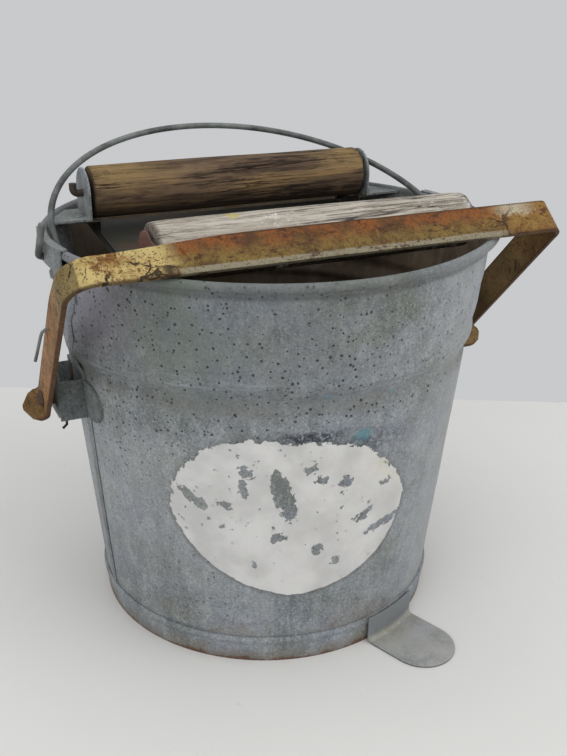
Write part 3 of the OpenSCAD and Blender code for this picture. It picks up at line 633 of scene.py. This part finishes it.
def softened(name, node, body, material, edge=SHEET_EDGE):
    """A copy of a CAD sheet piece with its sharp edges rounded off, as handling leaves them."""
    shape = bmesh.new()
    shape.from_mesh(nodes[node].data)
    bmesh.ops.remove_doubles(shape, verts=shape.verts[:], dist=2e-6)
    bmesh.ops.dissolve_limit(shape, angle_limit=math.radians(0.5), verts=shape.verts[:],
                             edges=shape.edges[:])
    sharp = [e for e in shape.edges if e.is_manifold and e.calc_face_angle(0) > math.radians(35)]
    bmesh.ops.bevel(shape, geom=sharp, offset=edge, offset_type="OFFSET", affect="EDGES", segments=2,
                    profile=0.5, material=-1, clamp_overlap=True)
    bmesh.ops.triangulate(shape, faces=[f for f in shape.faces if len(f.verts) > 4])
    piece = add_piece(name, shape, body, node)
    piece.data.materials.append(material)


# Foot tab -------------------------------------------------------------------------------------------
# A tab of thicker sheet on the hoop, bent out flat on the floor with a rounded end, for holding the
# bucket down with a foot.

TAB_TURN = math.radians(-69)


def tab_finish():
    """Zinc rubbed bright by shoes, stained in the bend, with dark edges."""
    material, place = new_finish("tab_zinc")
    color, roughness, height = zinc_layers(place, 0.3)
    z = place.dot((0, 0, 1))
    color = place.noise(40, 5).ramp(0.3, 0.6, 0.25, 0.7).mix(color, linear("#a9a8a5"))
    outward = place.dot((math.cos(TAB_TURN), math.sin(TAB_TURN), 0))
    stain = outward.near(0.128, 0.014) * place.noise(45, 5, 0.8).ramp(0.36, 0.56)
    color = (stain * 0.55).mix(color, linear("#85806a"))
    flange = z.ramp(0.003, 0.0075)
    color = (flange * 0.6).mix(color, linear("#5b6570"))
    edge = z.ramp(0.00135, 0.0009)
    color = (edge * 0.75).mix(color, linear("#343b44"))
    return finish(material, color, roughness, height, 0.0008)


softened("foot_tab_sheet", "foot_tab", "bucket", tab_finish(), 0.0005)

# Ears and their rivets ------------------------------------------------------------------------------
# Pressed plates of galvanised sheet, one on each side, that hook over the rim. Each is held by two rivets
# through the wall, and has a hole for the bail.

ear_zinc = zinc_finish("ear_zinc", 0.7, 0.35, shade="#4a453d")
for side in ("left", "right"):
    softened("ear_" + side, "bail_ear_" + side, "bucket", ear_zinc)
rivet_zinc = zinc_finish("rivet_zinc", 0.7, 0.5)
dress(rivet_zinc, "ear_rivets", "carrier_rivets", "tray_rivets")

# Bail -----------------------------------------------------------------------------------------------
# A hoop of round galvanised wire that the bucket is carried by. Its ends go through the ears from inside
# and are bent up outside in hooks, the right one broken off short.


def wire_finish(name, light="#767b78", deep="#3c413e"):
    """Old galvanised wire: dull grey-green, darker in patches, with a few rust freckles."""
    material, place = new_finish(name)
    cloud = place.noise(28, 5, 0.7)
    color = cloud.ramp(0.35, 0.68).mix(linear(deep), linear(light))
    fine = place.noise(420, 4, 0.8)
    color = (fine.ramp(0.45, 0.2) * 0.7).mix(color, linear("#272927"))
    rust = place.mapped(location=(6, 2, 8)).noise(75, 6, 0.8)
    color = (rust.ramp(0.6, 0.72) * 0.6).mix(color, linear("#5e4430"))
    return finish(material, color, fine * 0.2 + 0.36, fine, 0.0003)


bail_wire = wire_finish("bail_wire")
dress(bail_wire, "bail", "spring_hook")

# Hinge brackets, pins and what is left of the spring ------------------------------------------------
# Channels of zinc-dipped sheet on both sides carry the lever's pins; the left one still holds a broken
# return spring.

bracket_zinc = zinc_finish("bracket_zinc", 0.6, 0.9, shade="#3b4236")
for side in ("left", "right"):
    softened("bracket_" + side, "pivot_bracket_" + side, "bucket", bracket_zinc)

# Lever strap ----------------------------------------------------------------------------------------
# Flat steel bar bent to a U, its ends turned out to thumb tabs with rounded tips. Ochre paint over
# rust: cracked and freckled at the left, burnt brown along the top, and rubbed pale along the bottom.

# The hinge pins, and how far the lever leans forward from upright at rest
PIVOT_X = 0.1585
PIVOT_Z = 0.1674
PIN_HOLE_R = 0.00308
LEVER_LEAN = math.radians(41)
STRAP_W = 0.023
STRAP_T = 0.003
# The strap in its own plane: its crossbar above the pins, the legs' middles, the tabs below and beside
LEVER_R = 0.1506
LEG_TOP_X = 0.1615
LEG_FOOT_X = 0.1583
FOOT_DROP = 0.0086
TAB_LEFT = 0.012 + STRAP_T / 2
TAB_RIGHT = 0.030 + STRAP_T / 2
along_lever = Vector((0, -math.sin(LEVER_LEAN), math.cos(LEVER_LEAN)))
back_of_lever = Vector((0, math.cos(LEVER_LEAN), math.sin(LEVER_LEAN)))


def strap_finish():
    """Ochre paint, cracked and rusted through."""
    material, place = new_finish("ochre_paint")
    x = place.dot((1, 0, 0))
    height_up = place.dot(along_lever) - PIVOT_Z * along_lever.z
    width = place.dot(back_of_lever) - PIVOT_Z * back_of_lever.z
    cloud = place.noise(32, 6, 0.7)
    fine = place.noise(230, 6, 0.9)
    drips = place.mapped(scale=(260, 40, 40), location=(2, 6, 1)).noise(1, 6, 0.8)
    ragged = cloud * 0.4 + fine * 0.35 + drips * 0.25 - 0.5
    bar = height_up.ramp(0.11, 0.14)
    leg = 1 - bar
    middle = (x + (cloud - 0.5) * 0.05).ramp(-0.108, -0.092) * bar
    # the left corner: dull yellow ochre with brown freckles, streaked orange
    color = (cloud + fine * 0.5 - 0.25).ramp(0.3, 0.6).mix(linear("#86733c"), linear("#c0ab70"))
    orange = place.mapped(location=(1, 9, 5)).noise(45, 7, 0.85)
    color = (orange.ramp(0.5, 0.6) * 0.7).mix(color, linear("#8a5a26"))
    # the bar: ochre-olive, going to burnt brown along its top edge
    olive = place.mapped(location=(5, 5, 5)).noise(70, 7, 0.88)
    worn = olive.ramp(0.4, 0.6).mix(linear("#4c3313"), linear("#7e6731"))
    burnt = (width * 85 + 0.4 + ragged * 3).ramp(0.0, 1.0)
    worn = (burnt * 0.85).mix(worn, orange.ramp(0.4, 0.6).mix(linear("#45220b"), linear("#8c4c19")))
    color = (middle * 0.97).mix(color, worn)
    # orange patch at the right end
    right = x.ramp(0.105, 0.13) * bar
    color = (right * 0.6).mix(color, cloud.ramp(0.35, 0.6).mix(linear("#703d12"), linear("#a07c3c")))
    # legs: orange-brown on the left, dark olive-brown on the right
    grain = place.mapped(scale=(200, 60, 60), location=(0, 3, 7)).noise(1, 5, 0.8)
    streaked = (orange * 0.5 + grain * 0.5).ramp(0.4, 0.58).mix(linear("#5d3a1d"), linear("#a87549"))
    color = (leg * x.ramp(0.0, -0.1) * 0.85).mix(color, streaked)
    dusky = cloud.ramp(0.35, 0.65).mix(linear("#4a361f"), linear("#6b4a26"))
    color = (leg * x.ramp(0.0, 0.1) * 0.8).mix(color, dusky)
    foot = height_up.ramp(0.02, -0.004) * x.ramp(0.0, -0.1)
    color = (foot * 0.6).mix(color, linear("#6a5634"))
    # painted shade on the inner face of the crossbar and down the tops of the legs
    painted_shade_inner = height_up.ramp(0.1495, 0.1488) * bar
    color = (painted_shade_inner * 0.6).mix(color, linear("#35240f"))
    # pale rubbed band at the bottom of the crossbar, with chips of rust
    pale = (width * -420 - 3.1 + ragged * 2.4).ramp(0.0, 0.35) * middle * x.ramp(0.125, 0.11)
    color = (pale * 0.85).mix(color, linear("#8f8873"))
    chip = place.mapped(scale=(0.5, 1, 1), location=(4, 2, 7)).noise(150, 5, 0.8).ramp(0.57, 0.6)
    color = (chip * (middle * 0.45 + 0.35)).mix(color, linear("#40210d"))
    # pale chips near the right end
    chalk = x.near(0.131, 0.022) * bar * (width * 160 - 0.3 + ragged * 6).ramp(0.0, 0.5)
    color = (chalk * 0.75).mix(color, linear("#b9b29a"))
    # rust that runs through the paint, dark at the bar's edges
    rust = (orange * 2 - 1.16 + ragged).ramp(0.0, 0.12)
    color = (rust * 0.6).mix(color, fine.ramp(0.3, 0.7).mix(linear("#35190a"), linear("#7d4519")))
    edge = abs(width).ramp(0.0095, 0.0115) * (1 - pale) * (fine.ramp(0.3, 0.5) * 0.5 + 0.3)
    color = edge.mix(color, linear("#3a2210"))
    dark_chip = x.near(-0.1055, 0.007) * (width * -300 - 1.3 + ragged * 2).ramp(0.0, 0.3) * bar
    color = (dark_chip * 0.9).mix(color, linear("#26160d"))
    # freckles, pin holes and cracks
    specks = place.specks(700, 0.9, 0.42).either(place.mapped(location=(8, 8, 8)).specks(300, 0.6, 0.26))
    color = (specks * (middle * -0.35 + 0.72)).mix(color, linear("#5a3814"))
    hair = place.mapped(scale=(420, 50, 50), location=(0, 5, 3)).noise(1, 4, 0.8).ramp(0.42, 0.34)
    color = (hair * leg * 0.7).mix(color, linear("#35200f"))
    swirl = place.node("TexNoise", {}, {"Vector": place, "Scale": 90, "Detail": 3}, out=1)
    bent = place.node("VectorMath", {"operation": "MULTIPLY_ADD"}, {0: swirl, 1: (0.012,) * 3, 2: place})
    edges = bent.node("TexVoronoi", {"feature": "DISTANCE_TO_EDGE"}, {"Vector": bent, "Scale": 60})
    where = place.mapped(location=(2, 2, 0)).noise(30, 2).ramp(0.5, 0.55) * (1 - middle)
    cracks = edges.ramp(0.03, 0.012) * where.either(x.near(0.118, 0.02) * 0.8) * bar
    color = (cracks * 0.92).mix(color, linear("#1c0f07"))
    roughness = rust * 0.15 + fine * 0.15 + 0.58
    height = fine * 0.5 + cloud * 0.2 - rust * 0.35 - cracks * 0.8 - specks * 0.3 - burnt * middle * 0.2
    return finish(material, color, roughness, height, 0.0009, specular=0.3)


lever_frame = Matrix.Translation((0, 0, PIVOT_Z)) @ Matrix((
    (1, 0, 0, 0),
    (0, along_lever.y, back_of_lever.y, 0),
    (0, along_lever.z, back_of_lever.z, 0),
    (0, 0, 0, 1)))


def bent_bar(route, radii, width, thickness, step=0.004):
    """A flat bar bent along a route in the XY plane, round at each corner, with its width along Z."""
    shape = bmesh.new()
    bmesh.ops.create_grid(shape, x_segments=1, y_segments=6, size=0.5)
    first = (Vector(route[1]) - Vector(route[0])).normalized()
    section = Matrix((
        (-first.y, 0, 0, route[0][0]), (first.x, 0, 0, route[0][1]), (0, 1, 0, 0), (0, 0, 0, 1)))
    size = Matrix.Diagonal((thickness, width, 1, 1))
    bmesh.ops.transform(shape, matrix=section @ size, verts=shape.verts[:])
    end = shape.faces[:]

    def grow():
        """Draws the end face on into new faces, and returns their verts to be moved."""
        nonlocal end
        grown = bmesh.ops.extrude_face_region(shape, geom=end)["geom"]
        bmesh.ops.delete(shape, geom=end, context="FACES_ONLY")
        end = [g for g in grown if isinstance(g, bmesh.types.BMFace)]
        return [g for g in grown if isinstance(g, bmesh.types.BMVert)]

    place = Vector((*route[0], 0))
    for i in range(1, len(route)):
        here = Vector((*route[i], 0))
        heading = (here - place).normalized()
        trim = 0.0
        if i < len(route) - 1:
            after = (Vector((*route[i + 1], 0)) - here).normalized()
            turn = math.atan2(heading.cross(after).z, heading.dot(after))
            trim = radii[i - 1] * math.tan(abs(turn) / 2)
        length = (here - place).length - trim
        count = max(1, round(length / step))
        for _ in range(count):
            bmesh.ops.translate(shape, vec=heading * length / count, verts=grow())
        if trim:
            corner = place + heading * length
            side = Vector((-heading.y, heading.x, 0)) * math.copysign(radii[i - 1], turn)
            steps = max(6, round(abs(turn) / math.radians(8)))
            for _ in range(steps):
                bmesh.ops.rotate(shape, cent=corner + side, verts=grow(),
                                 matrix=Matrix.Rotation(turn / steps, 3, "Z"))
            place = here + after * trim
    return shape


strap_route = [(-LEG_FOOT_X - TAB_LEFT, -FOOT_DROP), (-LEG_FOOT_X, -FOOT_DROP), (-LEG_TOP_X, LEVER_R),
               (LEG_TOP_X, LEVER_R), (LEG_FOOT_X, -FOOT_DROP), (LEG_FOOT_X + TAB_RIGHT, -FOOT_DROP)]
strap_bends = [0.0045, 0.0165, 0.0075, 0.0045]
strap_shape = bent_bar(strap_route, strap_bends, STRAP_W, STRAP_T)
for vert in strap_shape.verts:
    # round the tips of the tabs, let the bar wander a little, and twist its left corner down at the back
    reach = TAB_LEFT if vert.co.x < 0 else TAB_RIGHT
    past = abs(vert.co.x) - (LEG_FOOT_X + reach - STRAP_W / 2)
    if past > 0 and vert.co.y < 0:
        vert.co.z *= math.sqrt(max(1 - (past / (STRAP_W / 2)) ** 2, 0.02))
    wander = noise.noise(Vector((vert.co.x * 16, vert.co.y * 16, 4)))
    if vert.co.y > LEVER_R - 0.01:
        vert.co.z += 0.0004 * wander
    twist = eased(-vert.co.x, 0.05, 0.15) * eased(vert.co.y, 0.1, 0.145)
    vert.co.z -= 0.005 * twist * eased(vert.co.z, -STRAP_W / 2, STRAP_W / 2)
long_edges = [e for e in strap_shape.edges if e.is_manifold and e.calc_face_angle(0) > math.radians(50)]
bmesh.ops.bevel(strap_shape, geom=long_edges, offset=0.0006, offset_type="OFFSET", affect="EDGES",
                segments=3, profile=0.5, material=-1, clamp_overlap=True)
bmesh.ops.transform(strap_shape, matrix=lever_frame, verts=strap_shape.verts[:])
strap = add_piece("lever_bar", strap_shape, "lever", "lever_strap")
strap.data.materials.append(strap_finish())
cut_holes(strap, [(s * PIVOT_X, 0, PIVOT_Z) for s in (-1, 1)], (1, 0, 0), PIN_HOLE_R, 0.012)


def painted_finish(name, code, dark):
    """Dull paint over rust on a small piece."""
    material, place = new_finish(name)
    cloud = place.noise(60, 6, 0.75)
    color = cloud.ramp(0.3, 0.7).mix(linear(dark), linear(code))
    worn = place.mapped(location=(4, 1, 4)).noise(130, 6, 0.8)
    color = (worn.ramp(0.55, 0.7) * 0.7).mix(color, linear("#8a8178"))
    return finish(material, color, 0.62, worn, 0.0005)


lug_paint = painted_finish("lug_paint", "#7b4a3c", "#4a2f28")
for side in ("left", "right"):
    softened("lug_" + side, "roller_lug_" + side, "lever", lug_paint)
dress(strap.data.materials[0], "lug_rivets")

# Rollers and their rods -----------------------------------------------------------------------------
# Turned softwood rollers, drilled through for a steel rod. Years of wet and sun have raised the grain:
# the rear one is brown and gold, and the front one is bleached grey with lime and paint specks.

ROLLER_R = 0.018
ROLLER_BORE = 0.00258
REAR_LENGTH = 0.207
FRONT_LENGTH = 0.210


def roller_shape(length, seed):
    """A roller along X at the origin: eased ends, grain hollows, and a little out of true."""
    half = length / 2
    ease = 0.0016
    outline = [(ROLLER_BORE, -half), (ROLLER_R - ease, -half), (ROLLER_R - ease * 0.3, -half + ease * 0.3),
               (ROLLER_R, -half + ease)]
    outline += [(ROLLER_R, -half + ease + (length - 2 * ease) * i / 70) for i in range(1, 70)]
    outline += [(ROLLER_R, half - ease), (ROLLER_R - ease * 0.3, half - ease * 0.3),
                (ROLLER_R - ease, half), (ROLLER_BORE, half)]
    shape = spun(outline, 96)
    for vert in shape.verts:
        radius = math.hypot(vert.co.x, vert.co.y)
        if radius < 0.006:
            continue
        spot = Vector((vert.co.x * 160, vert.co.y * 160, vert.co.z * 9 + seed))
        worn = 0.0004 * (noise.noise(spot) - 0.35) + 0.0003 * (noise.noise(spot * 2.3) - 0.4)
        end = eased(abs(vert.co.z), half - 0.012, half)
        rot = noise.noise(Vector((vert.co.x * 90, vert.co.y * 90, seed + 5)))
        worn -= 0.0014 * end * max(0.0, rot + 0.1)
        worn = min(worn, 0.0)
        vert.co.x *= (radius + worn) / radius
        vert.co.y *= (radius + worn) / radius
    bmesh.ops.rotate(shape, cent=(0, 0, 0), matrix=Matrix.Rotation(math.pi / 2, 3, "Y"),
                     verts=shape.verts[:])
    return shape


def wood_finish(name, center, dark, mid, light, bleached, lime):
    """Weathered wood with its grain along X."""
    material, place = new_finish(name)
    local = place.mapped(location=tuple(-c for c in center))
    along = local.dot((1, 0, 0))
    warp = local.mapped(scale=(8, 45, 45)).noise(1, 4, 0.55, 0.5)
    grain = local.mapped(scale=(14, 300, 300)).noise(1, 8, 0.85, 0.4)
    broad = local.mapped(scale=(12, 75, 75), location=(2, 1, 0)).noise(1, 6, 0.7, 1.4)
    color = broad.ramp(0.36, 0.62).mix(linear(dark), linear(mid))
    color = (warp.ramp(0.5, 0.64) * 0.8).mix(color, linear(light))
    if not bleached:
        ends = along.ramp(-0.03, -0.09).either(along.ramp(0.045, 0.09) * 0.9)
        gold = local.dot((0, -20, 50)).ramp(0.3, 1.0) * ends * place.noise(30, 5, 0.75).ramp(0.35, 0.55)
        color = (gold * 0.75).mix(color, linear("#a08657"))
    color = (grain.ramp(0.51, 0.38) * 0.9).mix(color, linear("#231a13"))
    color = (grain.ramp(0.53, 0.66) * 0.45).mix(color, linear(light))
    checks = local.mapped(scale=(4, 120, 120), location=(0, 4, 4)).noise(1, 5, 0.6, 0.8)
    crack = checks.near(0.5, 0.016) * local.noise(22).ramp(0.45, 0.55)
    color = (crack * 0.9).mix(color, linear("#15100c"))
    # painted shade: the underside of each roller is darkened
    under = local.dot((0, 0, 1)).ramp(0.0, -0.016)
    color = (under * 0.6).mix(color, linear("#2c241e"))
    if bleached:
        top = local.dot((0, -0.25, 1)).ramp(-0.006, 0.012)
        grey = grain.ramp(0.38, 0.56).mix(linear("#6a5f51"), linear("#d2cabd"))
        grey = (broad.ramp(0.42, 0.6) * 0.4).mix(grey, linear("#968979"))
        color = (top * bleached).mix(color, grey)
        color = (crack * 0.8).mix(color, linear("#2e2720"))
    if lime:
        flakes = place.mapped(location=(1, 6, 2)).noise(130, 7, 0.9)
        where = (along.near(-0.03, 0.02) + along.ramp(0.065, 0.09) * 0.8 + 0.2)
        color = (flakes.ramp(0.54, 0.58) * where * lime).mix(color, linear("#dad8d2"))
        spot = local.mapped(location=(0.056, 0.001, -0.018))
        yellow = spot.node("VectorMath", {"operation": "LENGTH"}, {0: spot}, out=1)
        yellow = (0.005 - yellow + (flakes - 0.5) * 0.01).ramp(0.0, 0.001)
        color = (yellow * 0.6).mix(color, linear("#c2b34e"))
    tip = abs(along).ramp(0.1015, 0.1045)
    color = (tip * 0.6).mix(color, linear("#3a2f27"))
    height = grain * 1.1 + warp * 0.3 - crack * 1.6
    return finish(material, color, grain * 0.15 + 0.72, height, 0.0011, specular=0.2)


def add_roller(name, node, body, length, seed, material_values):
    """A roller in its CAD node's place, with wood of its own."""
    low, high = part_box(node)
    center = (low + high) / 2
    shape = roller_shape(length, seed)
    bmesh.ops.translate(shape, vec=center, verts=shape.verts[:])
    roller = add_piece(name, shape, body, node)
    roller.data.materials.append(wood_finish(name + "_wood", center, *material_values))


add_roller("roller_back", "rear_roller", "rear_roller", REAR_LENGTH, 3.0,
           ("#4b3c31", "#77624d", "#987c56", 0.0, 0.0))
add_roller("roller_front", "front_roller", "front_roller", FRONT_LENGTH, 21.0,
           ("#5a4d40", "#857867", "#a59a88", 0.9, 0.95))
rod_steel = rust_finish("rod_steel", "#6f5238", "#3a3430", 0.3)
dress(rod_steel, "front_axle", "rear_axle")

# Carriers of the rear roller and drain tray ---------------------------------------------------------
# Zinc sheet: each carrier is a rounded plate with a ledge out to the wall and a flange riveted to it.
# The tray hangs from the ledges under the roller and sheds the water forward; it is darkened almost to
# black as painted shade under the roller, with brown silt over that.

carrier_zinc = zinc_finish("carrier_zinc", 0.7, 0.3)
for side in ("left", "right"):
    softened("carrier_" + side, "rear_carrier_" + side, "bucket", carrier_zinc)


def tray_finish():
    """Zinc under brown silt and rust, darkened almost to black as painted shade."""
    material, place = new_finish("tray_zinc")
    color, roughness, height = zinc_layers(place, 0.8)
    # painted shade: the zinc darkened almost to black, for the shade deep under the roller
    color = (place.noise(12, 3) * 0.15 + 0.83).mix(color, linear("#232113"))
    silt = place.mapped(location=(2, 8, 1)).noise(34, 6, 0.75)
    color = (silt.ramp(0.48, 0.62) * 0.75).mix(color, linear("#45321f"))
    pale = place.mapped(location=(6, 8, 1), scale=(1, 3, 1)).noise(60, 6, 0.8)
    color = (pale.ramp(0.6, 0.75) * 0.4).mix(color, linear("#7c7769"))
    return finish(material, color, roughness + 0.15, height + silt * 0.4, 0.0008)


softened("tray", "drain_tray", "bucket", tray_finish(), 0.0002)
